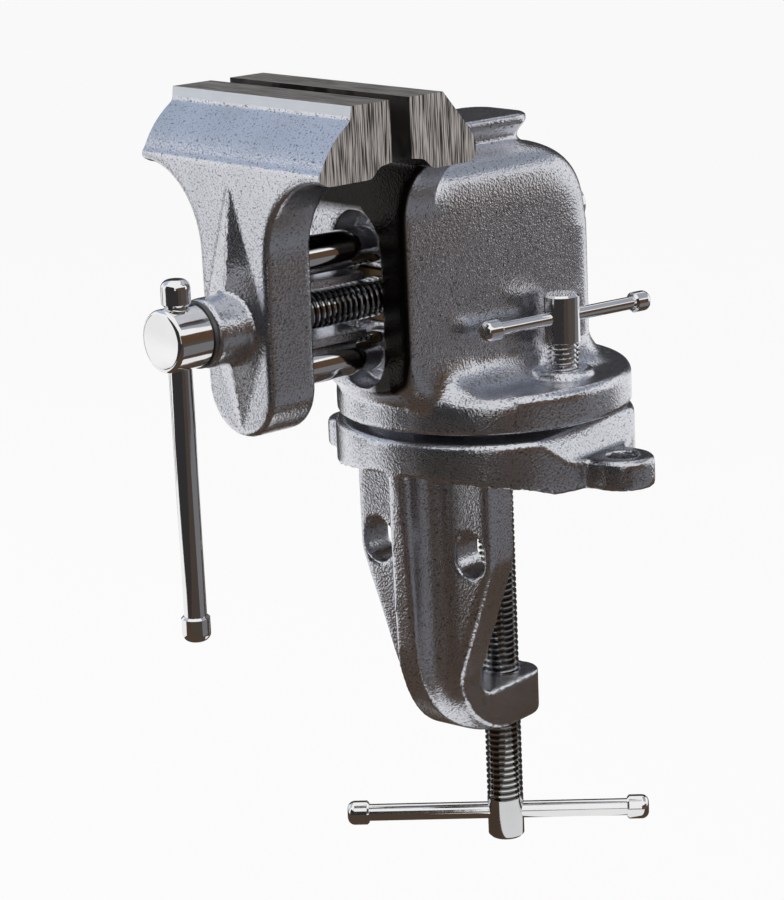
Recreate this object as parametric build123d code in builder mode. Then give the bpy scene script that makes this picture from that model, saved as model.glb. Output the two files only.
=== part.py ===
from build123d import *
import os
from math import cos, radians, sin

# Clamp-on bench vise with a swivel base and two guide rods.
# Millimetres. Z is up from the bench seat, X runs along the jaws, and the spindle head is at -Y.
# The origin is where the swivel axis meets the bench seat.

# Fits
running_fit = 0.06        # radial gap of shafts and screws that turn or slide
seat_fit = 0.02           # radial gap of pieces that are pressed or pinned in place
face_gap = 0.15           # gap between flat faces that rub

# Jaws
jaw_width = 76.2
jaw_top = 118.0
jaw_reach = 58.2          # swivel axis to the face of the fixed jaw
jaw_opening = 6.8
jaw_face_height = 16.0
jaw_relief = 4.4          # step under the jaw face
jaw_drop = 20.0           # top to the underside of either jaw bar
leg_lip = 1.0             # flare of the leg above that underside
jaw_nose_round = 2.4
jaw_under_lean = 1.6      # nose to the edge of the underside
relief_run = 3.0
relief_drop = 1.0
front_top_depth = 13.1
front_land = 4.0          # height of the ground strip below the moving jaw's top edge
front_lean = 0.9          # how far that strip leans out
front_swell = 1.3         # bulge from the strip to the nose
front_nose_depth = 25.0
front_nose_drop = 16.6
rear_top_depth = 9.5
rear_land = 10.6          # height of the fixed jaw's sloping back
rear_lean = 11.4
rear_swell = 0.4
rear_nose_depth = 23.3
rear_nose_drop = 16.0

# Leg of the moving jaw
leg_setback = 9.6         # jaw face to the back of the leg
leg_thickness = 16.0
leg_half_width = 14.0
leg_waist_half_width = 14.6
leg_bottom = 25.6
leg_flare = 23.5          # radius that sweeps the leg out to the jaw's ends
leg_edge_round = 1.6
diamond_top = 97.2
diamond_bottom = 27.2
diamond_half_width = 14.0
diamond_rise = 4.0
diamond_cut = 0.12        # share of the diamond that is left at its peak
boss_radius = 9.6
boss_length = 12.9
rib_thickness = 2.2
rib_half_width = 6.4
rib_length = 25.0
rib_offset = 8.15         # spindle axis to the middle of a rib

# Guide rods and spindle
spindle_height = 56.8
rod_spacing = 30.6
rod_radius = 5.5
rod_seat = 12.0           # depth of a rod in the leg
rod_length = 126.0
rod_chamfer = 0.8
screw_radius = 5.55
screw_length = 134.8      # behind the spindle head
head_radius = 8.7
head_length = 11.3
head_round = 1.4
handle_setback = 5.9      # front of the head to the handle
washer_thickness = 1.0
washer_radius = 9.2
collar_radius = 6.6
collar_length = 6.0
collar_pin_radius = 1.2
nut_length = 20.0
nut_height = 14.4
nut_width = 19.0
nut_corner = 2.0
nut_pin_radius = 2.0
nut_pin_bite = 3.0

# Handle through the spindle head
handle_radius = 3.2
handle_length = 86.5      # between the inner faces of its caps
handle_cap_radius = 4.0
handle_cap_length = 7.2
cap_socket = 4.0          # depth of a bar in its cap
cap_round = 2.4
cap_shoulder = 0.6        # bevel of a cap round its bar
handle_rest_gap = 0.3     # cap above the head that it hangs on

# Swivel body
flange_radius = 43.3
flange_height = 10.8
flange_round = 2.6
trunk_half_width = 20.4
trunk_front = 47.0        # swivel axis to the trunk's front
trunk_back = 29.0
trunk_top = 95.0
trunk_crown = 19.0        # radius of the top rear corner
trunk_round = 9.0
trunk_front_round = 2.0
wing_flare = 19.0         # height of the sweep from the trunk's side to the fixed jaw
wing_depth = 12.0
skirt_height = 11.0
skirt_spread = 11.0
skirt_steps = 5
skirt_sink = 0.4          # how far the skirt runs into the flange and the trunk
recess_radius = 10.0
recess_depth = 8.0
bore_relief = 0.8         # radial room behind the nut
anvil_half_width = 12.4
anvil_back = 12.5
anvil_top = 103.6
anvil_thickness = 4.4
anvil_corner = 7.0
anvil_overhang = 3.0

# Swivel lock
lock_x = 28.0
lock_y = 5.5
lock_boss_radius = 8.6
lock_boss_top = 31.9
spotface_radius = 6.6
lock_screw_radius = 4.5
lock_head_radius = 5.1
lock_head_low = 39.6
lock_head_top = 53.4
lock_head_bevel = 0.6
lock_bar_height = 46.6
lock_bar_radius = 1.9
lock_bar_angle = 85.0     # from the X axis
lock_bar_length = 49.2
lock_bar_shift = 1.6
lock_cap_radius = 3.0
lock_cap_length = 5.8
lock_cap_socket = 3.4
lock_cap_round = 1.8
lock_shoe_height = 3.0

# Base and clamp frame, turned under the vise
base_turn = 10.0
base_radius = 44.0
base_rim = 16.5           # bench seat to the top of the rim
base_rim_round = 2.2
land_radius = 34.0
swivel_gap = 2.2          # rim to the underside of the flange
arch_rise = 6.0
arch_half_width = 43.0
lug_reach = 48.5
lug_radius = 9.4
lug_height = 8.6
lug_hole_radius = 4.5
lug_round = 1.6
ramp_top_reach = 36.5
ramp_low_reach = 41.5
pivot_radius = 4.75
pivot_cover = 4.3         # metal between the pivot bolt's end and the lower rod
pivot_head_radius = 8.0
pivot_head_height = 5.5
pivot_washer_radius = 10.5
pivot_washer_thickness = 1.6
pivot_recess_margin = 0.5 # room round the clamp pad, which rises under the recess
pivot_recess = 9.5
column_inner = 20.0       # swivel axis to the column's back
column_depth = 11.7
column_half_width = 24.0
column_taper_start = -22.0
column_taper_end = -58.0
column_blend = 14.0       # radius at both ends of the taper
column_round = 2.0
ridge_reach = 44.0
ridge_foot_reach = 41.6
ridge_foot = -44.0
ridge_half_width = 3.6
ridge_flank = 11.5
window_offset = 16.6
window_height = -18.5
window_width = 10.2
window_length = 13.0
arm_half_width = 11.0
arm_top = -65.0
arm_thickness = 14.0
arm_bend = 27.0           # outer radius where the column turns into the arm
arm_inner_round = 5.0
ridge_root = 5.0          # ridge inside the column
ridge_sink = 0.6          # depth at which its flanks run out in the column
arm_corner = 7.5
clamp_back = 3.5          # swivel axis to the clamp screw
boss_overhang = 9.0       # clamp screw to the arm's end

# Clamp screw
clamp_radius = 5.5
clamp_foot = -119.0
clamp_foot_bevel = 0.8
pad_radius = 10.0
pad_thickness = 6.5
pad_top = -1.0
pad_bevel = 1.0
pad_tip_radius = 3.5
pad_tip = 4.0
clamp_bar_height = -111.0
clamp_bar_radius = 2.6
clamp_bar_angle = 46.0    # from the X axis
clamp_bar_length = 79.0
clamp_bar_shift = -2.4
clamp_cap_radius = 3.7
clamp_cap_length = 6.6
clamp_cap_socket = 4.0
clamp_cap_round = 2.2

# Places that follow from the sizes above
front_face = -(jaw_reach + jaw_opening)
leg_back = front_face - leg_setback
leg_front = leg_back - leg_thickness
boss_front = leg_front - boss_length
head_back = boss_front - washer_thickness - 2 * face_gap
head_front = head_back - head_length
handle_y = head_front + handle_setback
rod_heights = (spindle_height + rod_spacing / 2, spindle_height - rod_spacing / 2)
rod_front = leg_back - rod_seat
recess_back = -trunk_front + recess_depth
flange_low = base_rim + swivel_gap
flange_top = flange_low + flange_height
trunk_low = flange_low + flange_round
pivot_depth = rod_heights[1] - rod_radius - pivot_cover - flange_low
pivot_recess_radius = clamp_back + pad_radius + pivot_recess_margin
land_top = flange_low - face_gap
base_x = (cos(radians(base_turn)), sin(radians(base_turn)), 0)
base_front = (sin(radians(base_turn)), -cos(radians(base_turn)), 0)
base_plan = Plane(origin=(0, 0, 0), x_dir=base_x, z_dir=(0, 0, 1))
base_face = Plane(origin=(0, 0, 0), x_dir=base_x, z_dir=base_front)
base_side = Plane(origin=(0, 0, 0), x_dir=(-base_front[0], -base_front[1], 0), z_dir=base_x)
clamp_axis = Plane(origin=base_plan.from_local_coords((0, clamp_back, 0)), x_dir=base_x, z_dir=(0, 0, 1))
lock_axis = Plane(origin=(lock_x, lock_y, 0), z_dir=(0, 0, 1))
lock_bar_axis = Plane(
    origin=(lock_x, lock_y, lock_bar_height),
    z_dir=(cos(radians(lock_bar_angle)), sin(radians(lock_bar_angle)), 0))
clamp_bar_axis = Plane(
    origin=clamp_axis.offset(clamp_bar_height).origin,
    z_dir=(cos(radians(clamp_bar_angle)), sin(radians(clamp_bar_angle)), 0))
collar_pin_axis = Plane(
    origin=(0, leg_back + face_gap + collar_length / 2, spindle_height), z_dir=(1, 0, 0))
nut_pin_length = trunk_half_width - nut_width / 2 + nut_pin_bite
nut_pin_axis = Plane(
    origin=(-trunk_half_width, recess_back + nut_length / 2, spindle_height), z_dir=(1, 0, 0))

os.makedirs("parts", exist_ok=True)


def across(y):
    """Upright plane square to the spindle at y, with X across, Z up and its normal to the front."""
    return Plane.XZ.offset(-y)


def jaw_bar(face, away, top_depth, land, lean, swell, nose_depth, nose_drop):
    """Jaw bar on its face; away is -1 for the moving jaw and 1 for the fixed jaw."""
    land_edge = (face + away * (top_depth + lean), jaw_top - land)
    nose = (face + away * nose_depth, jaw_top - nose_drop)
    with BuildPart() as bar:
        with BuildSketch(Plane.YZ):
            with BuildLine():
                Polyline((face, jaw_top), (face + away * top_depth, jaw_top), land_edge)
                SagittaArc(land_edge, nose, away * swell)
                Polyline(
                    nose,
                    (face + away * (nose_depth - jaw_under_lean), jaw_top - jaw_drop),
                    (face + away * (jaw_relief + relief_run), jaw_top - jaw_drop),
                    (face + away * jaw_relief, jaw_top - jaw_face_height - relief_drop),
                    (face, jaw_top - jaw_face_height),
                    (face, jaw_top),
                )
            make_face()
            underside = vertices().group_by(Axis.Y)[0].sort_by(Axis.X)
            fillet(underside[-1] if away > 0 else underside[0], jaw_nose_round)
        extrude(amount=jaw_width / 2, both=True)
    return bar.part


def bar_and_caps(middle, length, radius, cap_radius, cap_length, socket, rounding):
    """A round bar along the plane's normal, centred on it, and a cap on each of its ends."""
    with BuildPart() as bar:
        with BuildSketch(middle):
            Circle(radius)
        extrude(amount=length / 2 + socket, both=True)
    caps = []
    for side in (1, -1):
        with BuildPart() as cap:
            with BuildSketch(middle.offset(side * length / 2)):
                Circle(cap_radius)
            extrude(amount=side * cap_length)
            outwards = Axis(middle.origin, middle.z_dir * side)
            fillet(cap.edges().sort_by(outwards)[-1], rounding)
            chamfer(cap.edges().sort_by(outwards)[0], cap_shoulder)
            with BuildSketch(middle.offset(side * length / 2)):
                Circle(radius + seat_fit)
            extrude(amount=side * (socket + seat_fit), mode=Mode.SUBTRACT)
        caps.append(cap.part)
    return bar.part, caps


def save(piece, name):
    piece.label = name
    export_step(piece, f"parts/{name}.step")


front_bar = jaw_bar(
    front_face, -1, front_top_depth, front_land, front_lean, front_swell, front_nose_depth, front_nose_drop)
rear_bar = jaw_bar(
    -jaw_reach, 1, rear_top_depth, rear_land, rear_lean, rear_swell, rear_nose_depth, rear_nose_drop)

# Moving jaw: jaw bar over a shield-shaped leg with a diamond rib and a boss for the spindle
with BuildPart() as moving_jaw:
    with BuildSketch(across(leg_back)):
        with BuildLine():
            bottom_centre = leg_bottom + leg_half_width
            flare_top = jaw_top - jaw_drop + leg_lip
            flare_low = flare_top - leg_flare
            toe = ThreePointArc(
                (0, leg_bottom),
                (leg_half_width * sin(radians(45)), bottom_centre - leg_half_width * cos(radians(45))),
                (leg_half_width, bottom_centre),
            )
            edge = Line(toe @ 1, (leg_waist_half_width, flare_low))
            flare = TangentArc(edge @ 1, (jaw_width / 2, flare_top), tangent=(0, 1))
            Polyline(flare @ 1, (jaw_width / 2, jaw_top - front_nose_drop), (0, jaw_top - front_nose_drop))
            mirror(about=Plane.YZ)
        make_face()
    extrude(amount=leg_thickness)
    outline = moving_jaw.edges().filter_by(Plane.XZ).filter_by(
        lambda e: e.center().Z < jaw_top - jaw_drop)
    fillet(outline, leg_edge_round)
    add(front_bar)
    rhomb = [
        (0, diamond_top - spindle_height),
        (-diamond_half_width, 0),
        (0, diamond_bottom - spindle_height),
        (diamond_half_width, 0),
    ]
    for share, reach in ((1.0, 0.0), (diamond_cut, diamond_rise)):
        with BuildSketch(across(leg_front - reach)):
            with BuildLine():
                Polyline(*[(share * x, spindle_height + share * z) for x, z in rhomb], close=True)
            make_face()
    loft(ruled=True)
    with BuildSketch(across(leg_front)):
        with Locations((0, spindle_height)):
            Circle(boss_radius)
    extrude(amount=boss_length)
    fillet(moving_jaw.faces().sort_by(Axis.Y)[0].edges(), leg_edge_round)
    with BuildSketch(across(leg_back)):
        with Locations((0, spindle_height + rib_offset), (0, spindle_height - rib_offset)):
            Rectangle(2 * rib_half_width, rib_thickness)
    extrude(amount=-rib_length)
    with BuildSketch(across(leg_back)):
        with Locations(*[(0, z) for z in rod_heights]):
            Circle(rod_radius + seat_fit)
    extrude(amount=rod_seat + seat_fit, mode=Mode.SUBTRACT)
    with BuildSketch(across(leg_back)):
        with Locations((0, spindle_height)):
            Circle(screw_radius + running_fit)
    extrude(amount=leg_back - boss_front, mode=Mode.SUBTRACT)
save(moving_jaw.part, "moving_jaw")

# Guide rods, pressed into the leg
for name, height in zip(("upper_guide_rod", "lower_guide_rod"), rod_heights):
    with BuildPart() as guide_rod:
        with BuildSketch(across(rod_front)):
            with Locations((0, height)):
                Circle(rod_radius)
        extrude(amount=-rod_length)
        chamfer(guide_rod.edges().sort_by(Axis.Y)[-1], rod_chamfer)
    save(guide_rod.part, name)

# Spindle: head with a cross hole for the handle, then the screw
with BuildPart() as spindle:
    with BuildSketch(across(head_back)):
        with Locations((0, spindle_height)):
            Circle(head_radius)
    extrude(amount=head_length)
    fillet(spindle.edges().filter_by(GeomType.CIRCLE).sort_by(Axis.Y)[0], head_round)
    with BuildSketch(across(head_back)):
        with Locations((0, spindle_height)):
            Circle(screw_radius)
    extrude(amount=-screw_length)
    chamfer(spindle.edges().sort_by(Axis.Y)[-1], rod_chamfer)
    with BuildSketch(Plane(origin=(0, handle_y, spindle_height), z_dir=(0, 0, 1))):
        Circle(handle_radius + running_fit)
    extrude(amount=head_radius, both=True, mode=Mode.SUBTRACT)
    with BuildSketch(collar_pin_axis):
        Circle(collar_pin_radius + seat_fit)
    extrude(amount=collar_radius, both=True, mode=Mode.SUBTRACT)
save(spindle.part, "spindle")

with BuildPart() as spindle_washer:
    with BuildSketch(across(boss_front - face_gap)):
        with Locations((0, spindle_height)):
            Circle(washer_radius)
            Circle(screw_radius + seat_fit, mode=Mode.SUBTRACT)
    extrude(amount=washer_thickness)
save(spindle_washer.part, "spindle_washer")

with BuildPart() as spindle_collar:
    with BuildSketch(across(leg_back + face_gap)):
        with Locations((0, spindle_height)):
            Circle(collar_radius)
            Circle(screw_radius + seat_fit, mode=Mode.SUBTRACT)
    extrude(amount=-collar_length)
    with BuildSketch(collar_pin_axis):
        Circle(collar_pin_radius + seat_fit)
    extrude(amount=collar_radius, both=True, mode=Mode.SUBTRACT)
save(spindle_collar.part, "spindle_collar")

with BuildPart() as collar_pin:
    with BuildSketch(collar_pin_axis):
        Circle(collar_pin_radius)
    extrude(amount=collar_radius - seat_fit, both=True)
save(collar_pin.part, "collar_pin")

# Handle, hanging on its upper cap
handle_top = spindle_height + head_radius + handle_rest_gap
handle_plane = Plane(origin=(0, handle_y, handle_top - handle_length / 2), z_dir=(0, 0, 1))
handle_bar, handle_caps = bar_and_caps(
    handle_plane, handle_length, handle_radius, handle_cap_radius, handle_cap_length, cap_socket, cap_round)
save(handle_bar, "handle_bar")
save(handle_caps[0], "handle_upper_cap")
save(handle_caps[1], "handle_lower_cap")

# Skirt that sweeps the trunk out into the flange
trunk_length = trunk_front + trunk_back
trunk_centre = (trunk_back - trunk_front) / 2
with BuildPart() as skirt:
    for step in range(skirt_steps):
        turn = radians(90 * step / (skirt_steps - 1))
        spread = skirt_spread * (1 - sin(turn)) - skirt_sink
        with BuildSketch(Plane.XY.offset(flange_top - skirt_sink + skirt_height * (1 - cos(turn)))):
            with Locations((0, trunk_centre)):
                RectangleRounded(
                    2 * trunk_half_width + 2 * spread, trunk_length + 2 * spread, trunk_round + spread)
    loft()
    with BuildSketch(Plane.XY.offset(flange_low)):
        Circle(flange_radius - flange_round)
    extrude(amount=flange_height + skirt_height, mode=Mode.INTERSECT)

# Front plate of the swivel body, which sweeps out to the ends of the fixed jaw
with BuildPart() as front_plate:
    with BuildSketch(across(-trunk_front)):
        with BuildLine():
            wing_top = jaw_top - jaw_drop + leg_lip
            Line((0, trunk_low), (trunk_half_width, trunk_low))
            side = Line((trunk_half_width, trunk_low), (trunk_half_width, wing_top - wing_flare))
            wing = TangentArc(side @ 1, (jaw_width / 2, wing_top), tangent=(0, 1))
            Polyline(wing @ 1, (jaw_width / 2, jaw_top - rear_nose_drop), (0, jaw_top - rear_nose_drop))
            mirror(about=Plane.YZ)
        make_face()
    extrude(amount=-wing_depth)
    front_edges = front_plate.faces().sort_by(Axis.Y)[0].edges()
    fillet(front_edges.filter_by(lambda e: trunk_low < e.center().Z < wing_top), trunk_front_round)

# Trunk of the swivel body, with a round crown at the back
with BuildPart() as trunk:
    with BuildSketch(Plane.YZ):
        with BuildLine():
            Polyline(
                (trunk_back, trunk_low),
                (-trunk_front + wing_depth / 2, trunk_low),
                (-trunk_front + wing_depth / 2, trunk_top),
                (trunk_back - trunk_crown, trunk_top),
            )
            TangentArc(
                (trunk_back - trunk_crown, trunk_top), (trunk_back, trunk_top - trunk_crown), tangent=(1, 0))
            Line((trunk_back, trunk_top - trunk_crown), (trunk_back, trunk_low))
        make_face()
    extrude(amount=trunk_half_width, both=True)
    uprights = trunk.edges().filter_by(Axis.Z).group_by(Axis.Y)[-1]
    crown = trunk.edges().filter_by(GeomType.CIRCLE)
    shoulders = trunk.edges().filter_by(Axis.Y).group_by(Axis.Z)[-1]
    fillet(uprights + crown + shoulders, trunk_round)

# Room round the flange, whose rim runs on under the front plate and then widens to it at 45 degrees
with BuildPart() as toe:
    toe_low = flange_top - flange_round
    toe_reach = trunk_front + trunk_half_width
    with BuildSketch(Plane.XZ):
        with BuildLine():
            Polyline(
                (flange_radius, flange_low),
                (flange_radius, toe_low),
                (toe_reach, toe_low + toe_reach - flange_radius),
                (toe_reach, flange_low),
                close=True,
            )
        make_face()
    revolve(axis=Axis.Z)

# Swivel body: flange, trunk, fixed jaw and anvil
with BuildPart() as swivel_body:
    with BuildSketch(Plane.XY.offset(flange_low)):
        Circle(flange_radius)
    extrude(amount=flange_height)
    fillet(swivel_body.edges().sort_by(Axis.Z)[-1], flange_round)
    add(trunk.part)
    add(front_plate.part)
    add(toe.part, mode=Mode.SUBTRACT)
    add(skirt.part)
    add(rear_bar)
    anvil_front = -jaw_reach + rear_top_depth
    with BuildSketch(Plane.XY.offset(anvil_top)):
        with Locations((0, (anvil_front + anvil_back) / 2)):
            RectangleRounded(2 * anvil_half_width, anvil_back - anvil_front, anvil_corner)
    extrude(amount=-anvil_thickness)
    with BuildSketch(Plane.XY.offset(anvil_top - anvil_thickness)):
        with Locations((0, (anvil_front + anvil_back - anvil_overhang) / 2)):
            RectangleRounded(
                2 * (anvil_half_width - anvil_overhang), anvil_back - anvil_overhang - anvil_front,
                anvil_corner - anvil_overhang)
    extrude(amount=-(anvil_top - anvil_thickness - trunk_top))
    with BuildSketch(lock_axis.offset(flange_low)):
        Circle(lock_boss_radius)
    extrude(amount=lock_boss_top - flange_low)
    with BuildSketch(lock_axis.offset(lock_boss_top)):
        Circle(spotface_radius)
    extrude(amount=skirt_height, mode=Mode.SUBTRACT)
    with BuildSketch(across(-trunk_front)):
        with Locations((0, spindle_height)):
            SlotCenterToCenter(rod_spacing, 2 * recess_radius, rotation=90)
    extrude(amount=-recess_depth, mode=Mode.SUBTRACT)
    with BuildSketch(across(recess_back)):
        with Locations((0, spindle_height)):
            RectangleRounded(nut_width + 2 * seat_fit, nut_height + 2 * seat_fit, nut_corner)
    extrude(amount=-nut_length, mode=Mode.SUBTRACT)
    with BuildSketch(across(recess_back)):
        with Locations(*[(0, z) for z in rod_heights]):
            Circle(rod_radius + running_fit)
        with Locations((0, spindle_height)):
            Circle(screw_radius + bore_relief)
    extrude(amount=-(flange_radius - recess_back), mode=Mode.SUBTRACT)
    with BuildSketch(nut_pin_axis):
        Circle(nut_pin_radius + seat_fit)
    extrude(amount=nut_pin_length, mode=Mode.SUBTRACT)
    with BuildSketch(Plane.XY.offset(flange_low)):
        Circle(pivot_radius + seat_fit)
    extrude(amount=pivot_depth + seat_fit, mode=Mode.SUBTRACT)
    with BuildSketch(lock_axis.offset(flange_low)):
        Circle(lock_screw_radius + running_fit)
    extrude(amount=lock_boss_top - flange_low, mode=Mode.SUBTRACT)
save(swivel_body.part, "swivel_body")

with BuildPart() as spindle_nut:
    with BuildSketch(across(recess_back)):
        with Locations((0, spindle_height)):
            RectangleRounded(nut_width, nut_height, nut_corner)
            Circle(screw_radius + running_fit, mode=Mode.SUBTRACT)
    extrude(amount=-nut_length)
    with BuildSketch(nut_pin_axis):
        Circle(nut_pin_radius + seat_fit)
    extrude(amount=nut_pin_length + seat_fit, mode=Mode.SUBTRACT)
save(spindle_nut.part, "spindle_nut")

with BuildPart() as nut_pin:
    with BuildSketch(nut_pin_axis):
        Circle(nut_pin_radius)
    extrude(amount=nut_pin_length)
save(nut_pin.part, "nut_pin")

# Pivot bolt and its washer, up through the base into the body
with BuildPart() as pivot_bolt:
    with BuildSketch(Plane.XY.offset(pivot_recess - face_gap - pivot_washer_thickness)):
        RegularPolygon(pivot_head_radius, 6)
    extrude(amount=-pivot_head_height)
    with BuildSketch(Plane.XY.offset(pivot_recess - face_gap - pivot_washer_thickness)):
        Circle(pivot_radius)
    extrude(amount=flange_low + pivot_depth - pivot_recess + face_gap + pivot_washer_thickness)
save(pivot_bolt.part, "pivot_bolt")

with BuildPart() as pivot_washer:
    with BuildSketch(Plane.XY.offset(pivot_recess - face_gap)):
        Circle(pivot_washer_radius)
        Circle(pivot_radius + seat_fit, mode=Mode.SUBTRACT)
    extrude(amount=-pivot_washer_thickness)
save(pivot_washer.part, "pivot_washer")

# Lock screw, its shoe and its bar
with BuildPart() as lock_screw:
    with BuildSketch(lock_axis.offset(lock_head_low)):
        Circle(lock_head_radius)
    extrude(amount=lock_head_top - lock_head_low)
    chamfer(lock_screw.edges().sort_by(Axis.Z)[-1], lock_head_bevel)
    with BuildSketch(lock_axis.offset(flange_low + lock_shoe_height + face_gap)):
        Circle(lock_screw_radius)
    extrude(amount=lock_head_low - flange_low - lock_shoe_height - face_gap)
    with BuildSketch(lock_bar_axis):
        Circle(lock_bar_radius + running_fit)
    extrude(amount=lock_head_radius, both=True, mode=Mode.SUBTRACT)
save(lock_screw.part, "lock_screw")

with BuildPart() as lock_shoe:
    with BuildSketch(lock_axis.offset(flange_low)):
        Circle(lock_screw_radius - seat_fit)
    extrude(amount=lock_shoe_height)
save(lock_shoe.part, "lock_shoe")

lock_bar, lock_caps = bar_and_caps(
    lock_bar_axis.offset(lock_bar_shift), lock_bar_length, lock_bar_radius, lock_cap_radius, lock_cap_length,
    lock_cap_socket, lock_cap_round)
save(lock_bar, "lock_bar")
with BuildPart() as lock_bar_caps:
    add(lock_caps)
save(lock_bar_caps.part, "lock_bar_caps")

# Column profile seen from the front: wide at the base, tapering to the arm
with BuildPart() as column_front:
    with BuildSketch(base_face.offset(-clamp_back - boss_overhang)):
        with BuildLine():
            Polyline(
                (0, base_rim / 2),
                (column_half_width, base_rim / 2),
                (column_half_width, column_taper_start),
                (arm_half_width, column_taper_end),
                (arm_half_width, arm_top - arm_thickness),
                (0, arm_top - arm_thickness),
            )
            mirror(about=Plane.YZ)
        make_face()
        levels = vertices().group_by(Axis.Y)
        fillet(levels[1] + levels[2], column_blend)
    extrude(amount=clamp_back + boss_overhang + base_radius)

# Column and arm seen from the side: a C that is open to the back
with BuildPart() as column:
    column_front_face = column_inner + column_depth
    arm_low = arm_top - arm_thickness
    with BuildSketch(base_side):
        with BuildLine():
            Polyline(
                (-column_inner, base_rim / 2),
                (-column_front_face, base_rim / 2),
                (-column_front_face, arm_low + arm_bend),
            )
            TangentArc(
                (-column_front_face, arm_low + arm_bend), (-column_front_face + arm_bend, arm_low),
                tangent=(0, -1))
            Polyline(
                (-column_front_face + arm_bend, arm_low),
                (clamp_back + boss_overhang, arm_low),
                (clamp_back + boss_overhang, arm_top),
                (-column_inner, arm_top),
                (-column_inner, base_rim / 2),
            )
        make_face()
        fillet(vertices().sort_by_distance((-column_inner, arm_top))[0], arm_inner_round)
    extrude(amount=base_radius, both=True)
    add(column_front.part, mode=Mode.INTERSECT)
    forwards = Axis((0, 0, 0), base_front)
    fillet(column.edges().filter_by(Axis.Z).sort_by(forwards)[:2], arm_corner)
    front_edges = column.faces().sort_by(forwards)[-1].edges()
    fillet(front_edges.filter_by(Axis((0, 0, 0), base_x), reverse=True), column_round)

# Ridge down the front of the column and round into the arm, with hollow flanks
with BuildLine(base_side) as ridge_path:
    Line((-column_front_face, base_rim / 2), (-column_front_face, arm_low + arm_bend))
    TangentArc(
        (-column_front_face, arm_low + arm_bend), (-column_front_face + arm_bend, arm_low), tangent=(0, -1))
with BuildPart() as ridge:
    with BuildSketch(base_plan.offset(base_rim / 2)):
        with BuildLine():
            root = -column_front_face + ridge_root
            foot = (ridge_half_width + ridge_flank, -column_front_face + ridge_sink)
            shoulder = (ridge_half_width, -ridge_reach + ridge_half_width)
            Polyline((0, root), (foot[0], root), foot)
            TangentArc(shoulder, foot, tangent=(0, 1))
            TangentArc(shoulder, (0, -ridge_reach), tangent=(0, -1))
            mirror(about=Plane.YZ)
        make_face()
    sweep(path=ridge_path.line)
    with BuildSketch(base_side):
        with BuildLine():
            heel = -ridge_foot_reach + ridge_foot - arm_low
            Polyline((heel, base_rim / 2), (-ridge_reach, base_rim / 2), (-ridge_foot_reach, ridge_foot))
            TangentArc((-ridge_foot_reach, ridge_foot), (heel, arm_low), tangent=(0, -1))
            Line((heel, arm_low), (heel, base_rim / 2))
        make_face()
    extrude(amount=base_radius, both=True, mode=Mode.INTERSECT)
    add(column_front.part, mode=Mode.INTERSECT)

# Bar of two lugs across the base
with BuildPart() as lugs:
    with BuildSketch(base_plan):
        SlotCenterToCenter(2 * lug_reach, 2 * lug_radius)
    extrude(amount=lug_height)
    fillet(lugs.edges().group_by(Axis.Z)[-1], lug_round)

# Clamp frame: base, lugs, column and arm in one casting
with BuildPart() as clamp_frame:
    with BuildSketch(base_plan):
        Circle(base_radius)
    extrude(amount=base_rim)
    fillet(clamp_frame.edges().sort_by(Axis.Z)[-1], base_rim_round)
    with BuildSketch(base_face.offset(column_inner)):
        with BuildLine():
            ThreePointArc((-arch_half_width, 0), (0, arch_rise), (arch_half_width, 0))
            Line((arch_half_width, 0), (-arch_half_width, 0))
        make_face()
    extrude(amount=base_radius - column_inner, mode=Mode.SUBTRACT)
    add(lugs.part)
    with BuildSketch(base_face):
        with BuildLine():
            Polyline(
                (ramp_top_reach, base_rim),
                (ramp_low_reach, lug_height),
                (lug_reach + lug_radius, lug_height),
                (lug_reach + lug_radius, base_rim),
                close=True,
            )
        make_face()
        mirror(about=Plane.YZ)
    extrude(amount=base_radius, both=True, mode=Mode.SUBTRACT)
    with BuildSketch(base_plan.offset(base_rim)):
        Circle(land_radius)
    extrude(amount=land_top - base_rim)
    add(column.part)
    add(ridge.part)
    with BuildSketch(base_face.offset(column_inner)):
        with Locations((window_offset, window_height), (-window_offset, window_height)):
            SlotOverall(window_length, window_width, rotation=90)
    extrude(amount=base_radius - column_inner, mode=Mode.SUBTRACT)
    with BuildSketch(base_plan):
        Circle(pivot_recess_radius)
    extrude(amount=pivot_recess, mode=Mode.SUBTRACT)
    with BuildSketch(base_plan):
        Circle(pivot_radius + running_fit)
    extrude(amount=land_top, mode=Mode.SUBTRACT)
    with BuildSketch(base_plan):
        with Locations((lug_reach, 0), (-lug_reach, 0)):
            Circle(lug_hole_radius)
    extrude(amount=lug_height, mode=Mode.SUBTRACT)
    with BuildSketch(clamp_axis.offset(arm_top)):
        Circle(clamp_radius + running_fit)
    extrude(amount=-arm_thickness, mode=Mode.SUBTRACT)
save(clamp_frame.part, "clamp_frame")

# Clamp screw with a swivel pad on its tip and a bar through its foot
pad_low = pad_top - pad_thickness
with BuildPart() as clamp_pad:
    with BuildSketch(clamp_axis.offset(pad_low)):
        Circle(pad_radius)
    extrude(amount=pad_thickness)
    chamfer(clamp_pad.edges().sort_by(Axis.Z)[0], pad_bevel)
    with BuildSketch(clamp_axis.offset(pad_low)):
        Circle(pad_tip_radius + running_fit)
    extrude(amount=pad_tip + face_gap, mode=Mode.SUBTRACT)
save(clamp_pad.part, "clamp_pad")

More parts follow.
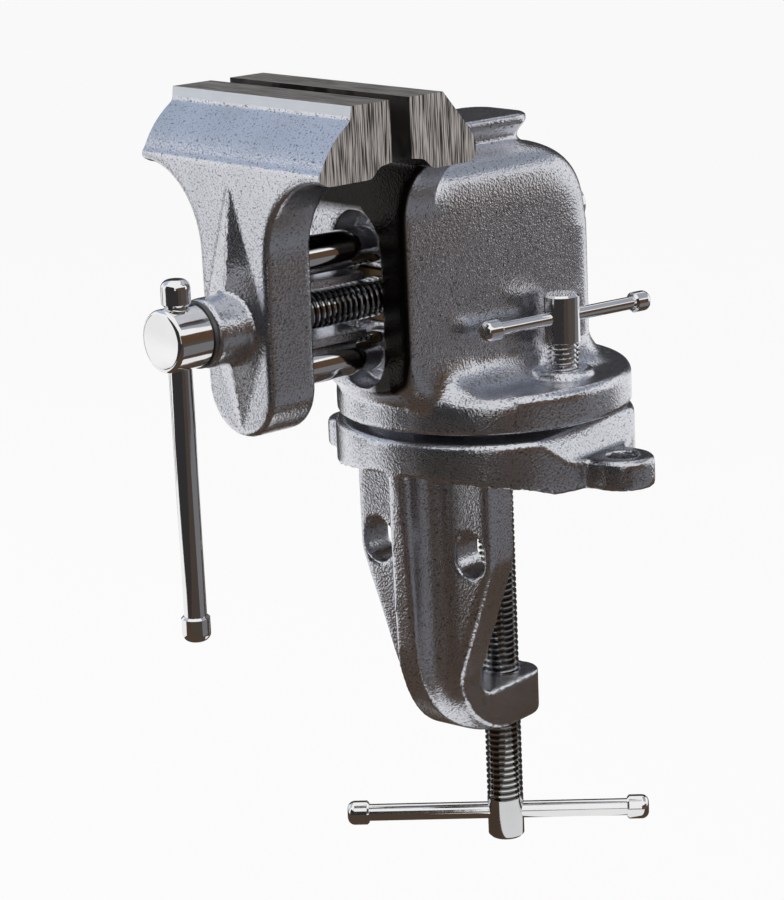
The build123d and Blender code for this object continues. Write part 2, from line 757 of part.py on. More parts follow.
with BuildPart() as clamp_screw:
    with BuildSketch(clamp_axis.offset(clamp_foot)):
        Circle(clamp_radius)
    extrude(amount=pad_low - face_gap - clamp_foot)
    chamfer(clamp_screw.edges().sort_by(Axis.Z)[0], clamp_foot_bevel)
    with BuildSketch(clamp_axis.offset(pad_low - face_gap)):
        Circle(pad_tip_radius)
    extrude(amount=pad_tip)
    with BuildSketch(clamp_bar_axis):
        Circle(clamp_bar_radius + running_fit)
    extrude(amount=clamp_radius, both=True, mode=Mode.SUBTRACT)
save(clamp_screw.part, "clamp_screw")

clamp_bar, clamp_caps = bar_and_caps(
    clamp_bar_axis.offset(clamp_bar_shift), clamp_bar_length, clamp_bar_radius, clamp_cap_radius,
    clamp_cap_length, clamp_cap_socket, clamp_cap_round)
save(clamp_bar, "clamp_bar")
with BuildPart() as clamp_bar_caps:
    add(clamp_caps)
save(clamp_bar_caps.part, "clamp_bar_caps")
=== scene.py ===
"""Looks of a clamp-on bench vise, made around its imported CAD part.

The three castings are softened copies of their solids, ground flat where the real ones are ground.
The screws get their threads, and every piece gets its finish.
Metres; Z is up, and the spindle head is at -Y.
"""
from math import pi, radians

import bpy
from mathutils import Matrix, Vector


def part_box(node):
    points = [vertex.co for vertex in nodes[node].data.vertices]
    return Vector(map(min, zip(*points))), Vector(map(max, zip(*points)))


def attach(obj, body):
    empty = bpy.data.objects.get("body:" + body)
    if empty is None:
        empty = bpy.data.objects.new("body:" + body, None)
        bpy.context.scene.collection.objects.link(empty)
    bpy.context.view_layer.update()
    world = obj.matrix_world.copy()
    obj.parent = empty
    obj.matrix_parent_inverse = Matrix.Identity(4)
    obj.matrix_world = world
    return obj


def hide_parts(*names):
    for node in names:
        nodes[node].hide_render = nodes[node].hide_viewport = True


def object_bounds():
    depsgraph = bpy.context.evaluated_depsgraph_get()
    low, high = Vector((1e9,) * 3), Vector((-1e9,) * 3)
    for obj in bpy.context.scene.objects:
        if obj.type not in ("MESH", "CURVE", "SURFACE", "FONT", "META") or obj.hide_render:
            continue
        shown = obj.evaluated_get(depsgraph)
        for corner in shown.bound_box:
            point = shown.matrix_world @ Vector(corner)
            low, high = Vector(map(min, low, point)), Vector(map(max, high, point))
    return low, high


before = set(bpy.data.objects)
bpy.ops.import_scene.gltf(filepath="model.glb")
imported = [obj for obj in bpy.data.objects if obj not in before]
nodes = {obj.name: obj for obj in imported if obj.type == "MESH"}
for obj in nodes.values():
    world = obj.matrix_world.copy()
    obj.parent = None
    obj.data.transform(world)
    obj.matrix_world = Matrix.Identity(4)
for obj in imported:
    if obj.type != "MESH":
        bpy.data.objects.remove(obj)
cad_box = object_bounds()

# Castings
CAST_GRAIN = 0.00071      # voxel of the softened castings
CAST_SOFTNESS = 6         # smoothing passes all over
SMOOTH_STEP = 0.5         # how far one pass goes
GRIND = 0.003             # stock that is ground off the jaws
TOUCH = 0.00002           # points this close lie on the same face
WELD = TOUCH / 10         # points this close become one
SHARP = radians(38)       # edges sharper than this aren't shaded smooth
ANYWHERE = -1.0           # a height below everything

# Jaws
JAW_UNDERSIDE = 0.09      # the ground faces lie above this height
JAW_OPENING = 0.0068      # at rest
JAW_LAND = 0.0027         # height of the bare strip along the moving jaw's top front edge
FRONT_FACING = -0.5       # the strip's faces point more to the front than this
BORE_ROOM = 0.0068        # radius of the space round the spindle's bore
RIB_ROOM = 0.0115         # half height of the space round the moving jaw's two ribs
RIB_REACH = 0.0085        # that space starts this far in front of the jaw's grip
LEG_FRONT = -0.0903       # the diamond and the spindle boss stand out from here
CRISP = 0.3               # share of the softening that these get

# Trunk
RIM_TOP = 0.0235          # the trunk's front runs into the flange from this height
TOE_TOP = 0.042           # to this one
TOE_FADE = 0.006          # the softening fades in and out over this height
TOE_BACK = -0.022         # and ends here
TOE_INNER = 0.0125        # clear of the rods' slot
FLANGE_FILLET = 160       # smoothing passes there
SHOULDER = 300            # smoothing passes along the trunk's top edges, within these bounds
SHOULDER_FRONT = -0.034
SHOULDER_LOW = 0.07
SHOULDER_HIGH = 0.1015
SHOULDER_INNER = 0.006
SHOULDER_FADE = 0.005

# Threads: crest radius, depth, pitch
SPINDLE_THREAD = (0.00555, 0.00095, 0.0020)
LOCK_THREAD = (0.0045, 0.0008, 0.00145)
CLAMP_THREAD = (0.0055, 0.00095, 0.001814)
THREAD_STEPS = 40         # sides of a turn
SPARE_TURNS = 3           # turns that the two square cuts take off
LOCK_HEAD_LOW = 0.0396    # the lock screw's thread ends under its head
CLAMP_THREAD_LOW = -0.1065
CLAMP_THREAD_HIGH = -0.0095

# Finishes: sizes of patterns are counts in a metre, depths are in metres
DIMPLES = 1500.0
GRIT = 2300.0
SWELL = 60.0
HAMMER_DEPTH = 0.00009
PAINT_METALLIC = 0.97
PAINT_COAT = 0.25
PAINT_COAT_ROUGHNESS = 0.12
PAINT_LIGHT = (0.65, 0.66, 0.71, 1)
PAINT_PITTED = (0.17, 0.17, 0.18, 1)
PAINT_DULL = (0.38, 0.38, 0.385, 1)
TRUNK_FRONT_EDGE = -0.0452
PAINTED_SHADE_SIDE = 0.003          # painted shade on the trunk's front beyond this, and above the next
PAINTED_SHADE_TOP = 0.0805
PAINTED_SHADE_FRONT_EDGE = 1200.0   # how sharply the painted shade ends behind the trunk's front edge
PAINTED_SHADE_EDGE = 300.0          # and at its side and its lower end
# near-black painted shade, on the trunk's front and down in the spindle's thread
PAINTED_SHADE_BLACK = (0.02, 0.018, 0.016, 1)
# grey painted shade down in the clamp screw's thread
PAINTED_GROOVE_SHADE = (0.16, 0.15, 0.14, 1)
GRIND_LINES = (110.0, 3000.0, 90.0)
GRIND_BANDS = (15.0, 500.0, 30.0)
LINE_CONTRAST = 5.4
BAND_CONTRAST = 0.6
GRIND_LIGHTNESS = 0.52
GRIND_DEPTH = 0.00006
IRON_METALLIC = 0.7
RUB_MARKS = 900.0
PLATE_PATCHES = 140.0
PLATE_DEPTH = 0.00003
HEAD_EDGE = 4000.0        # how sharply the painted shade in a thread ends at the screw's head
TURNING_RINGS = (60.0, 2200.0, 60.0)
STEEL_PATCHES = 220.0
TURNING_DEPTH = 0.00004
BRONZE_PATCHES = 260.0
DULL_METALLIC = 0.95

body_low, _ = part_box("swivel_body")
_, jaw_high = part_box("moving_jaw")
_, washer_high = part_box("spindle_washer")
spindle_low, spindle_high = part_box("spindle")
lock_low, lock_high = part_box("lock_screw")
clamp_low, clamp_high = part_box("clamp_screw")
spindle_axis = (spindle_low + spindle_high) / 2
lock_axis = (lock_low + lock_high) / 2
clamp_axis = (clamp_low + clamp_high) / 2


class Wire:
    """A shader socket; arithmetic on it adds Math nodes."""

    def __init__(self, tree, socket=None):
        self.tree = tree
        self.socket = socket

    def add(self, kind, settings=None, inputs=None, out=0):
        """Adds a node: its settings first, then the values or links of its sockets."""
        node = self.tree.nodes.new(kind)
        for name, value in (settings or {}).items():
            setattr(node, name, value)
        for name, value in (inputs or {}).items():
            if isinstance(value, Wire):
                self.tree.links.new(value.socket, node.inputs[name])
            else:
                node.inputs[name].default_value = value
        return Wire(self.tree, node.outputs[out])

    def maths(self, operation, *values):
        return self.add("ShaderNodeMath", {"operation": operation}, dict(enumerate(values)))

    def __add__(self, other):
        return self.maths("ADD", self, other)

    def __radd__(self, other):
        return self.maths("ADD", other, self)

    def __sub__(self, other):
        return self.maths("SUBTRACT", self, other)

    def __rsub__(self, other):
        return self.maths("SUBTRACT", other, self)

    def __mul__(self, other):
        return self.maths("MULTIPLY", self, other)

    def __rmul__(self, other):
        return self.maths("MULTIPLY", other, self)

    def root(self):
        return self.maths("SQRT", self)

    def clamped(self):
        return self.add("ShaderNodeMath", {"operation": "ADD", "use_clamp": True}, {0: self, 1: 0.0})

    def mix(self, first, second):
        """A colour between two, by this value."""
        return self.add(
            "ShaderNodeMix", {"data_type": "RGBA"}, {"Factor": self, 6: first, 7: second}, out=2)

    def noise(self, place, scale, detail=2.0, roughness=0.5):
        return self.add(
            "ShaderNodeTexNoise", None,
            {"Vector": place, "Scale": scale, "Detail": detail, "Roughness": roughness})

    def part(self, place, axis):
        """One coordinate of a place."""
        return self.add("ShaderNodeSeparateXYZ", None, {"Vector": place}, out=axis)

    def stretched(self, place, scale):
        """The place scaled along each axis, for a pattern that runs one way."""
        return self.add("ShaderNodeMapping", None, {"Vector": place, "Scale": scale})


def finish(name, paint_it, **fixed):
    """A material: fixed values, and paint_it for what changes over the surface."""
    material = bpy.data.materials.new(name)
    material.use_nodes = True
    tree = material.node_tree
    shader = tree.nodes["Principled BSDF"]
    for socket, value in fixed.items():
        shader.inputs[socket.replace("_", " ")].default_value = value
    wire = Wire(tree)
    place = wire.add("ShaderNodeTexCoord", out="Object")
    for socket, value in paint_it(wire, place).items():
        tree.links.new(value.socket, shader.inputs[socket])
    return material


def bump(wire, height, depth):
    return wire.add("ShaderNodeBump", None, {"Height": height, "Distance": depth, "Strength": 1.0})


def hammertone(wire, place):
    """Glossy grey hammered paint: fine dimples and a few dark pits, over an uneven casting."""
    dimples = wire.add(
        "ShaderNodeTexVoronoi", {"feature": "SMOOTH_F1"},
        {"Vector": place, "Scale": DIMPLES, "Smoothness": 0.6, "Randomness": 1.0})
    grit = wire.noise(place, GRIT)
    swell = wire.noise(place, SWELL, 0.0)
    sound = ((wire.noise(place, DIMPLES, 2.0, 0.6) - 0.31) * 8.0).clamped()
    tint = sound.mix(PAINT_PITTED, PAINT_LIGHT)
    height = dimples * 0.8 + grit * 0.4 + swell * 1.1
    return {
        "Base Color": ((swell - 0.35) * 0.5).clamped().mix(tint, PAINT_DULL),
        "Roughness": 0.25 - sound * 0.05,
        "Normal": bump(wire, height, HAMMER_DEPTH),
    }


def hammertone_with_painted_shade(wire, place):
    """The same paint, with painted shade: black on the trunk's front beside the rods and above them.
    """
    sockets = hammertone(wire, place)
    front = ((TRUNK_FRONT_EDGE - wire.part(place, "Y")) * PAINTED_SHADE_FRONT_EDGE).clamped()
    beside = ((wire.part(place, "X") - PAINTED_SHADE_SIDE) * PAINTED_SHADE_EDGE).clamped()
    above = ((wire.part(place, "Z") - PAINTED_SHADE_TOP) * PAINTED_SHADE_EDGE).clamped()
    # the painted shade: the trunk's front, beside the rods and above them
    painted_shade = front * (beside + above).clamped()
    sockets["Base Color"] = painted_shade.mix(sockets["Base Color"], PAINTED_SHADE_BLACK)
    sockets["Coat Weight"] = PAINT_COAT * (1.0 - painted_shade)
    return sockets


def ground_iron(dark, light):
    """Bare cast iron with grinding lines along and down the jaws."""
    def paint_it(wire, place):
        lines = wire.noise(wire.stretched(place, GRIND_LINES), 1.0)
        bands = wire.noise(wire.stretched(place, GRIND_BANDS), 1.0)
        shade = (lines - 0.5) * LINE_CONTRAST + (bands - 0.5) * BAND_CONTRAST + GRIND_LIGHTNESS
        return {
            "Base Color": shade.clamped().mix(dark, light),
            "Roughness": 0.34 + lines * 0.22,
            "Normal": bump(wire, lines, GRIND_DEPTH),
        }
    return paint_it


def bright_plate(tint, dull, roughness):
    """A bright finish: clear, with faint rubbing marks and slightly duller patches."""
    def paint_it(wire, place):
        rub = wire.noise(place, RUB_MARKS)
        patch = wire.noise(place, PLATE_PATCHES)
        return {
            "Base Color": (patch * 0.5).mix(tint, dull),
            "Roughness": roughness + rub * 0.03 + patch * 0.04,
            "Normal": bump(wire, patch, PLATE_DEPTH),
        }
    return paint_it


def plated_screw(plate, painted_shade, along, centre, thread, head_end):
    """A plated screw with painted shade down in the grooves of its thread, which starts at head_end
    along its axis.
    """
    crest, depth, _ = thread

    def paint_it(wire, place):
        sockets = plate(wire, place)
        first, second = (
            wire.part(place, axis) - middle
            for axis, middle in zip("XYZ", centre) if axis != along)
        height = (first * first + second * second).root() - (crest - depth)
        crests = (height * (1 / depth)).clamped()
        head = ((head_end - wire.part(place, along)) * HEAD_EDGE).clamped()
        # painted shade: the colour goes dark down in the thread's grooves, but not on the head
        sockets["Base Color"] = (crests * crests + head).clamped().mix(painted_shade, sockets["Base Color"])
        return sockets
    return paint_it


def turned_steel(wire, place):
    """Dark steel with turning rings along the spindle's axis."""
    rings = wire.noise(wire.stretched(place, TURNING_RINGS), 1.0)
    patch = wire.noise(place, STEEL_PATCHES, 3.0)
    return {
        "Base Color": patch.mix((0.09, 0.09, 0.09, 1), (0.24, 0.235, 0.23, 1)),
        "Roughness": 0.3 + rings * 0.25,
        "Normal": bump(wire, rings, TURNING_DEPTH),
    }


def dull_bronze(wire, place):
    patch = wire.noise(place, BRONZE_PATCHES, 3.0)
    return {
        "Base Color": patch.mix((0.09, 0.06, 0.03, 1), (0.24, 0.17, 0.085, 1)),
        "Roughness": 0.38 + patch * 0.2,
    }


paint = finish(
    "hammertone_paint", hammertone,
    Metallic=PAINT_METALLIC, Coat_Weight=PAINT_COAT, Coat_Roughness=PAINT_COAT_ROUGHNESS)
# the swivel body's paint, with painted shade on the trunk's front
paint_with_painted_shade = finish(
    "paint_with_painted_shade", hammertone_with_painted_shade,
    Metallic=PAINT_METALLIC, Coat_Roughness=PAINT_COAT_ROUGHNESS)

side_iron = ground_iron((0.06, 0.054, 0.05, 1), (0.85, 0.81, 0.785, 1))
# a darker copy of the bare iron for the jaws' tops: painted shade
shaded_top_iron = ground_iron((0.16, 0.148, 0.14, 1), (0.46, 0.44, 0.425, 1))
# a near-black copy for the jaws' gripping faces: painted shade between the jaws
shaded_grip_iron = ground_iron((0.012, 0.011, 0.01, 1), (0.08, 0.074, 0.07, 1))
bare = finish("ground_iron", side_iron, Metallic=IRON_METALLIC)
bare_top = finish("ground_top_painted_shade", shaded_top_iron, Metallic=IRON_METALLIC)
# painted shade between the jaws, on the gripping faces
grip = finish("painted_shade_grip", shaded_grip_iron, Metallic=IRON_METALLIC)

rubbed_iron = bright_plate((0.72, 0.75, 0.8, 1), (0.56, 0.59, 0.65, 1), 0.36)
chromed = bright_plate((0.86, 0.86, 0.87, 1), (0.74, 0.73, 0.71, 1), 0.035)
zinc_plated = bright_plate((0.7, 0.71, 0.72, 1), (0.5, 0.5, 0.49, 1), 0.08)
# the two threads carry painted shade down in their grooves
spindle_with_shaded_thread = plated_screw(chromed, PAINTED_SHADE_BLACK, "Y", spindle_axis, SPINDLE_THREAD, washer_high.y)
clamp_screw_with_shaded_thread = plated_screw(zinc_plated, PAINTED_GROOVE_SHADE, "Z", clamp_axis, CLAMP_THREAD, CLAMP_THREAD_LOW)
worn = finish("worn_edge", rubbed_iron, Metallic=DULL_METALLIC)
chrome = finish("chrome", chromed, Metallic=1.0)
zinc = finish("zinc_plate", zinc_plated, Metallic=1.0)
spindle_chrome = finish("spindle_chrome", spindle_with_shaded_thread, Metallic=1.0)
screw_zinc = finish("screw_zinc", clamp_screw_with_shaded_thread, Metallic=1.0)

steel = finish("turned_steel", turned_steel, Metallic=DULL_METALLIC)
bronze = finish("bronze", dull_bronze, Metallic=DULL_METALLIC)


def only(piece):
    """Selects one piece and makes it the active one."""
    bpy.ops.object.select_all(action="DESELECT")
    piece.select_set(True)
    bpy.context.view_layer.objects.active = piece


def pick(piece, test):
    """Goes into edit mode with only the vertices selected whose place passes the test."""
    only(piece)
    bpy.ops.object.mode_set(mode="EDIT")
    bpy.ops.mesh.select_mode(type="VERT")
    bpy.ops.mesh.select_all(action="DESELECT")
    bpy.ops.object.mode_set(mode="OBJECT")
    for vertex in piece.data.vertices:
        vertex.select = test(vertex.co)
    bpy.ops.object.mode_set(mode="EDIT")


def modify(piece, kind, **settings):
    """Adds a modifier to a piece and applies it."""
    only(piece)
    modifier = piece.modifiers.new(kind, kind)
    for name, value in settings.items():
        setattr(modifier, name, value)
    bpy.ops.object.modifier_apply(modifier=modifier.name)


def copy_of(node, name):
    """A piece with a merged copy of a CAD node's mesh."""
    piece = bpy.data.objects.new(name, nodes[node].data.copy())
    bpy.context.collection.objects.link(piece)
    piece.data.materials.clear()
    only(piece)
    bpy.ops.mesh.customdata_custom_splitnormals_clear()
    bpy.ops.object.mode_set(mode="EDIT")
    bpy.ops.mesh.select_all(action="SELECT")
    bpy.ops.mesh.remove_doubles(threshold=WELD)
    bpy.ops.object.mode_set(mode="OBJECT")
    return piece


def cut(piece, place, outwards, above=ANYWHERE):
    """Cuts a piece at a plane, takes off what is outside and closes the cut, which stays selected."""
    pick(piece, lambda co: co.z > above)
    bpy.ops.mesh.bisect(plane_co=place, plane_no=outwards, use_fill=True, clear_outer=True)


def wear(piece, body, node, slot, *materials):
    """Gives a finished piece its materials and its body, and hides the node that it stands for."""
    for material in materials:
        piece.data.materials.append(material)
    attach(piece, body)
    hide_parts(node)


def soften(piece, share, passes):
    """Smooths a piece, by the share that each place takes."""
    group = piece.vertex_groups.new(name="soft")
    for vertex in piece.data.vertices:
        group.add([vertex.index], share(vertex.co), "REPLACE")
    modify(piece, "SMOOTH", factor=SMOOTH_STEP, iterations=passes, vertex_group=group.name)
    piece.vertex_groups.clear()


def casting(name, node, body, coat, ground, share, trunk=False):
    """A casting from a solid: left oversize at its ground faces, softened, then ground flat."""
    piece = copy_of(node, name)
    for place, outwards, _ in ground:
        pick(piece, lambda co: co.z > JAW_UNDERSIDE and abs((co - place).dot(outwards)) < TOUCH)
        bpy.ops.transform.translate(value=outwards * GRIND)
        bpy.ops.object.mode_set(mode="OBJECT")
    modify(piece, "REMESH", mode="VOXEL", voxel_size=CAST_GRAIN)
    soften(piece, share, CAST_SOFTNESS)
    if trunk:
        soften(piece, flange_corner, FLANGE_FILLET)
        soften(piece, trunk_shoulder, SHOULDER)
    wear(piece, body, node, "grey_paint", coat, bare, bare_top, grip)
    for place, outwards, metal in ground:
        cut(piece, place, outwards, JAW_UNDERSIDE)
        piece.active_material_index = piece.data.materials.find(metal.name)
        bpy.ops.object.material_slot_assign()
        bpy.ops.object.mode_set(mode="OBJECT")
    only(piece)
    bpy.ops.object.shade_smooth_by_angle(angle=SHARP)
    return piece


right = Vector((1, 0, 0))
backwards = Vector((0, 1, 0))
up = Vector((0, 0, 1))
jaw_end = jaw_high.x
jaw_top = jaw_high.z
fixed_face = body_low.y
moving_face = fixed_face - JAW_OPENING
rib_front = moving_face - RIB_REACH
jaw_ends = [
    (right * jaw_end, right, bare),
    (right * -jaw_end, -right, bare),
    (up * jaw_top, up, bare_top),
]


def all_over(co):
    return 1.0


def jaw_share(co):
    """The spindle's bore and the two ribs stay as they are; the diamond and the boss stay crisp."""
    around = Vector((co.x - spindle_axis.x, co.z - spindle_axis.z)).length
    if around < BORE_ROOM or co.y > rib_front and abs(co.z - spindle_axis.z) < RIB_ROOM:
        return 0.0
    return CRISP if co.y < LEG_FRONT else 1.0


def flange_corner(co):
    """Where the trunk's front runs into the flange, fading out above and below."""
    if co.y > TOE_BACK or abs(co.x) < TOE_INNER:
        return 0.0
    return max(0.0, min(1.0, (co.z - RIM_TOP) / TOE_FADE, (TOE_TOP - co.z) / TOE_FADE))


def trunk_shoulder(co):
    """The trunk's long top edges behind the fixed jaw, fading out on all sides."""
    inside = min(
        co.y - SHOULDER_FRONT, co.z - SHOULDER_LOW,
        SHOULDER_HIGH - co.z, abs(co.x) - SHOULDER_INNER)
    return max(0.0, min(1.0, inside / SHOULDER_FADE))


moving_jaw = casting(
    "moving_jaw_casting", "moving_jaw", "jaw", paint,
    jaw_ends + [(backwards * moving_face, backwards, grip)], jaw_share)
casting(
    "swivel_body_casting", "swivel_body", "swivel", paint_with_painted_shade,
    jaw_ends + [(backwards * fixed_face, -backwards, grip)], all_over, trunk=True)
casting("clamp_frame_casting", "clamp_frame", "frame", paint, [], all_over)

# Bare strip along the moving jaw's top front edge
pick(moving_jaw, lambda co: co.z > JAW_UNDERSIDE)
bpy.ops.mesh.bisect(plane_co=up * (jaw_top - JAW_LAND), plane_no=up)
bpy.ops.object.mode_set(mode="OBJECT")
moving_jaw.data.materials.append(worn)
for face in moving_jaw.data.polygons:
    if face.center.z > jaw_top - JAW_LAND and face.normal.y < FRONT_FACING:
        face.material_index = moving_jaw.data.materials.find(worn.name)


def outline(name, points):
    """An open outline, drawn by extruding one point from place to place."""
    bpy.ops.object.select_all(action="DESELECT")
    bpy.ops.mesh.primitive_plane_add(size=TOUCH)
    piece = bpy.context.object
    piece.name = name
    bpy.ops.object.mode_set(mode="EDIT")
    bpy.ops.mesh.select_all(action="SELECT")
    bpy.ops.mesh.merge(type="CENTER")
    bpy.ops.transform.translate(value=points[0])
    for start, end in zip(points, points[1:]):
        step = Vector(end) - Vector(start)
        bpy.ops.mesh.extrude_region_move(TRANSFORM_OT_translate={"value": step})
    bpy.ops.object.mode_set(mode="OBJECT")
    return piece


def threaded_rod(name, sizes, length):
    """A right-hand thread on Z from 0 to a length: one tooth, screwed round and cut off square."""
    crest, depth, pitch = sizes
    root = crest - depth
    tooth = [(crest, 0.0), (crest, 0.16), (root, 0.46), (root, 0.62), (crest, 0.92), (crest, 1.0)]
    rod = outline(name, [(radius, 0, (turn - 1) * pitch) for radius, turn in tooth])
    modify(
        rod, "SCREW", axis="Z", angle=2 * pi, screw_offset=pitch,
        iterations=int(length / pitch) + SPARE_TURNS, steps=THREAD_STEPS,
        render_steps=THREAD_STEPS, use_merge_vertices=True, merge_threshold=WELD)
    cut(rod, (0, 0, 0), -up)
    bpy.ops.object.mode_set(mode="OBJECT")
    cut(rod, up * length, up)
    bpy.ops.mesh.select_all(action="SELECT")
    bpy.ops.mesh.normals_make_consistent(inside=False)
    bpy.ops.object.mode_set(mode="OBJECT")
    return rod


def put(piece, place, turn=Matrix()):
    """Moves a piece made at the origin to its place, in its mesh."""
    piece.matrix_world = Matrix.Translation(place) @ turn
    only(piece)
    bpy.ops.object.transform_apply(location=True, rotation=True, scale=True)


def join(piece, *others):
    """Makes one piece of several, each already in place."""
    only(piece)
    for other in others:
        other.select_set(True)
    bpy.ops.object.join()
    bpy.ops.object.shade_smooth_by_angle(angle=SHARP)


def shank(node, name, place, outwards):
    """The plain part of a screw, cut from its solid at a plane."""
    piece = copy_of(node, name)
    cut(piece, place, outwards)
    bpy.ops.object.mode_set(mode="OBJECT")
    return piece


# Spindle: head from the solid, then the thread behind it
thread_front = Vector((spindle_axis.x, washer_high.y, spindle_axis.z))
spindle = shank("spindle", "spindle_with_thread", thread_front, backwards)
spindle_screw = threaded_rod("spindle_screw", SPINDLE_THREAD, spindle_high.y - thread_front.y)
put(spindle_screw, thread_front, Matrix.Rotation(radians(-90), 4, "X"))
join(spindle, spindle_screw)
wear(spindle, "spindle", "spindle", "chrome", spindle_chrome)

# Lock screw: head from the solid over its thread
lock_neck = Vector((lock_axis.x, lock_axis.y, LOCK_HEAD_LOW))
lock = shank("lock_screw", "lock_screw_with_thread", lock_neck, -up)
lock_thread = threaded_rod("lock_thread", LOCK_THREAD, LOCK_HEAD_LOW - lock_low.z)
put(lock_thread, (lock_axis.x, lock_axis.y, lock_low.z))
join(lock, lock_thread)
wear(lock, "lock", "lock_screw", "chrome", chrome)

# Clamp screw: plain foot and tip from the solid, thread between them
clamp_foot_end = Vector((clamp_axis.x, clamp_axis.y, CLAMP_THREAD_LOW))
clamp_tip_end = Vector((clamp_axis.x, clamp_axis.y, CLAMP_THREAD_HIGH))
clamp_foot = shank("clamp_screw", "clamp_screw_with_thread", clamp_foot_end, up)
clamp_tip = shank("clamp_screw", "clamp_tip", clamp_tip_end, -up)
clamp_thread = threaded_rod("clamp_thread", CLAMP_THREAD, CLAMP_THREAD_HIGH - CLAMP_THREAD_LOW)
put(clamp_thread, clamp_foot_end)
join(clamp_foot, clamp_tip, clamp_thread)
wear(clamp_foot, "clamp_screw", "clamp_screw", "zinc_plate", screw_zinc)

# Solids that are shown as they are
for material, names in (
    (chrome, (
        "upper_guide_rod", "lower_guide_rod", "handle_bar", "handle_upper_cap", "handle_lower_cap",
        "lock_bar", "lock_bar_caps", "clamp_bar", "clamp_bar_caps")),
    (steel, (
        "spindle_washer", "spindle_collar", "collar_pin", "nut_pin", "pivot_bolt", "pivot_washer")),
    (bronze, ("spindle_nut", "lock_shoe")),
    (zinc, ("clamp_pad",)),
):
    for name in names:
        nodes[name].data.materials.clear()
        nodes[name].data.materials.append(material)

# Camera at the photograph's place and angle
CAMERA_PLACE = (0.60988, -0.56265, 0.22006)
CAMERA_AZIMUTH = radians(49.227)
CAMERA_ELEVATION = radians(14.545)
CAMERA_ROLL = radians(-2.508)
CAMERA_LENS = 116.0
CAMERA_FILM = 36.0
camera = bpy.data.objects.new("camera", bpy.data.cameras.new("camera"))
camera.data.lens = CAMERA_LENS
camera.data.sensor_width = CAMERA_FILM
camera.matrix_world = (
    Matrix.Translation(CAMERA_PLACE)
    @ Matrix.Rotation(CAMERA_AZIMUTH, 4, "Z")
    @ Matrix.Rotation(radians(90) - CAMERA_ELEVATION, 4, "X")
    @ Matrix.Rotation(CAMERA_ROLL, 4, "Z"))
bpy.context.collection.objects.link(camera)
bpy.context.scene.camera = camera

# Studio
VISE_MIDDLE = (0.0, -0.03, 0.03)
BOARD_DROP = 0.0002       # boards lie this far under the vise's lowest point
BOARD_STEP = 0.0001       # a board on another one
FLOOR_DROP = 0.0575       # the clamp bar comes down this far when the clamp is wide open
FLOOR_SIZE = 6.0
FLOOR_GLOW = 0.93         # share of the floor's white that takes no shadow
AMBIENT = 0.2             # the world's light on the vise; it looks white all the same


def lamp(name, place, aim, size, power, colour):
    """A soft square lamp that faces a point; the metal mirrors the cards, not the lamps."""
    light = bpy.data.objects.new(name, bpy.data.lights.new(name, "AREA"))
    light.data.size = size
    light.data.energy = power
    light.data.color = colour
    light.location = place
    light.rotation_euler = (Vector(aim) - Vector(place)).to_track_quat("-Z", "Y").to_euler()
    light.visible_glossy = False
    bpy.context.collection.objects.link(light)


def card(name, place, aim, width, height, colour):
    """A card beside the vise, out of sight, that its metal mirrors."""
    bpy.ops.object.select_all(action="DESELECT")
    bpy.ops.mesh.primitive_plane_add(size=1.0)
    plane = bpy.context.object
    plane.name = name
    plane.location = place
    plane.rotation_euler = (Vector(aim) - Vector(place)).to_track_quat("Z", "Y").to_euler()
    plane.scale = (width, height, 1.0)
    plane.visible_camera = False
    plane.visible_diffuse = False
    plane.visible_shadow = False
    material = bpy.data.materials.new(name)
    material.use_nodes = True
    tree = material.node_tree
    glow = Wire(tree).add("ShaderNodeEmission", None, {"Color": (*colour, 1), "Strength": 1.0})
    tree.links.new(glow.socket, tree.nodes["Material Output"].inputs["Surface"])
    plane.data.materials.append(material)


def board(name, low, high, colour, lift=0.0):
    """A card that lies flat below the vise, between two corners."""
    middle = Vector(((low[0] + high[0]) / 2, (low[1] + high[1]) / 2, cad_box[0].z - BOARD_DROP + lift))
    card(name, middle, middle + up, high[0] - low[0], high[1] - low[1], colour)


def seen(wire):
    """1 where the camera, a mirror or a glass looks at a surface, 0 where it only lights others."""
    camera_ray = wire.add("ShaderNodeLightPath", out="Is Camera Ray")
    mirror_ray = wire.add("ShaderNodeLightPath", out="Is Glossy Ray")
    glass_ray = wire.add("ShaderNodeLightPath", out="Is Transmission Ray")
    return (camera_ray + mirror_ray + glass_ray).clamped()


lamp("key_lamp", (-0.85, -0.8, 0.35), VISE_MIDDLE, 0.5, 11.0, (1.0, 0.99, 0.98))
lamp("top_lamp", (-0.1, 0.25, 1.0), VISE_MIDDLE, 0.7, 1.2, (0.94, 0.97, 1.0))
lamp("fill_lamp", (0.95, 0.25, 0.2), VISE_MIDDLE, 0.5, 4.0, (1.0, 0.97, 0.94))
board("near_board", (-0.16, -0.42), (0.15, 0.5), (0.08, 0.055, 0.039))
board("screw_board", (0.005, -0.04), (0.085, 0.03), (0.9, 0.9, 0.9), lift=BOARD_STEP)
board("dark_board", (-0.5, -1.4), (1.6, -0.42), (0.035, 0.033, 0.033))
board("right_board", (0.15, -0.42), (1.6, -0.05), (0.07, 0.055, 0.047))
board("grey_board", (0.15, -0.05), (0.55, 1.0), (0.18, 0.18, 0.19))
board("brown_board", (0.55, -0.05), (1.6, 1.4), (0.088, 0.074, 0.066))
board("back_left_board", (-1.5, 0.05), (-0.38, 1.4), (0.02, 0.02, 0.02))
card("dark_front_card", (0.25, -1.3, 0.4), (0.25, 0.0, 0.4), 2.0, 1.1, (0.03, 0.03, 0.032))
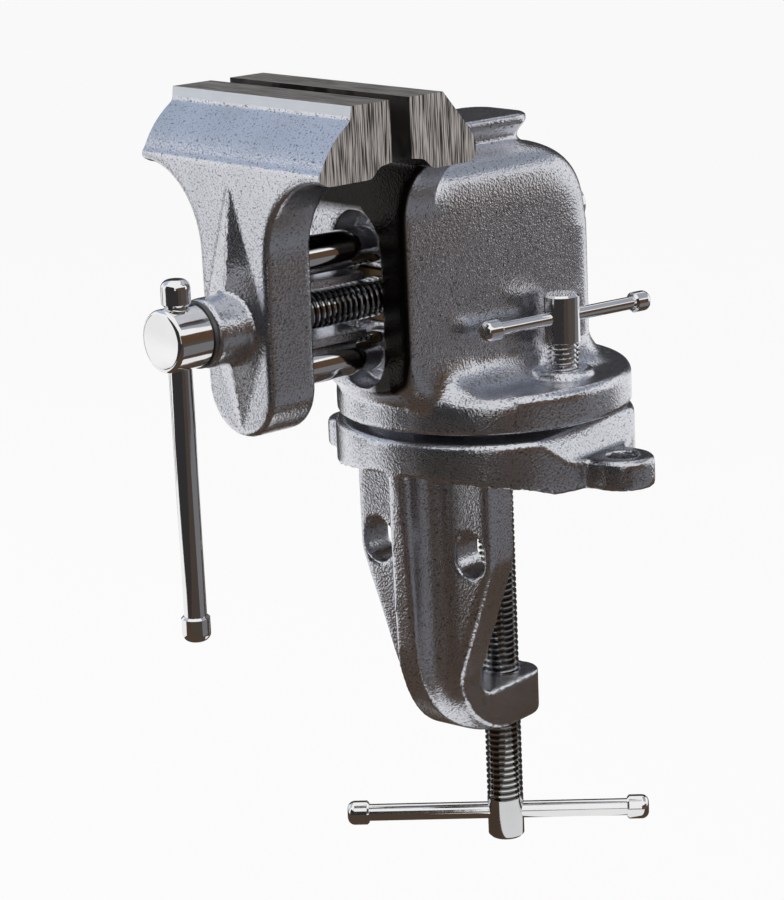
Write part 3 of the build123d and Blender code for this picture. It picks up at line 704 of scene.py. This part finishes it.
card("brown_side_card", (1.25, 0.1, 0.2), (0.0, 0.1, 0.2), 2.2, 0.7, (0.1, 0.06, 0.037))
card("dark_back_card", (-0.95, 0.85, 0.45), (0.0, 0.0, 0.12), 2.0, 1.1, (0.045, 0.045, 0.048))
card("blue_left_card", (-1.1, -0.35, 1.0), (0.0, -0.07, 0.1), 1.3, 0.8, (0.5, 0.58, 0.71))
card("blue_top_card", (0.3, 0.75, 0.95), (0.0, 0.0, 0.1), 1.2, 0.8, (0.36, 0.39, 0.45))
card("dark_strip", (-0.49, -0.28, 0.0), (0.0, -0.09, 0.0), 0.09, 0.24, (0.05, 0.05, 0.055))

# Pale floor, which looks nearly white and keeps a soft shadow
bpy.ops.object.select_all(action="DESELECT")
bpy.ops.mesh.primitive_plane_add(size=FLOOR_SIZE, location=(0, 0, cad_box[0].z - FLOOR_DROP))
floor = bpy.context.object
floor.name = "floor"
floor_finish = bpy.data.materials.new("pale_floor")
floor_finish.use_nodes = True
floor_tree = floor_finish.node_tree
floor_shader = floor_tree.nodes["Principled BSDF"]
floor_shader.inputs["Base Color"].default_value = (0.9, 0.9, 0.9, 1)
floor_shader.inputs["Roughness"].default_value = 0.9
floor_wire = Wire(floor_tree)
floor_paint = Wire(floor_tree, floor_shader.outputs[0])
floor_glow = floor_wire.add("ShaderNodeEmission", None, {"Color": (1, 1, 1, 1), "Strength": 1.0})
floor_blend = floor_wire.add(
    "ShaderNodeMixShader", None, {0: seen(floor_wire) * FLOOR_GLOW, 1: floor_paint, 2: floor_glow})
floor_tree.links.new(floor_blend.socket, floor_tree.nodes["Material Output"].inputs["Surface"])
floor.data.materials.append(floor_finish)

# White surroundings that light the vise only a little
world = bpy.data.worlds.new("studio")
bpy.context.scene.world = world
world.use_nodes = True
world_wire = Wire(world.node_tree)
sky = world.node_tree.nodes["Background"]
sky.inputs["Color"].default_value = (1, 1, 1, 1)
sky_strength = AMBIENT + seen(world_wire) * (1.0 - AMBIENT)
world.node_tree.links.new(sky_strength.socket, sky.inputs["Strength"])
bpy.context.scene.view_settings.view_transform = "Standard"
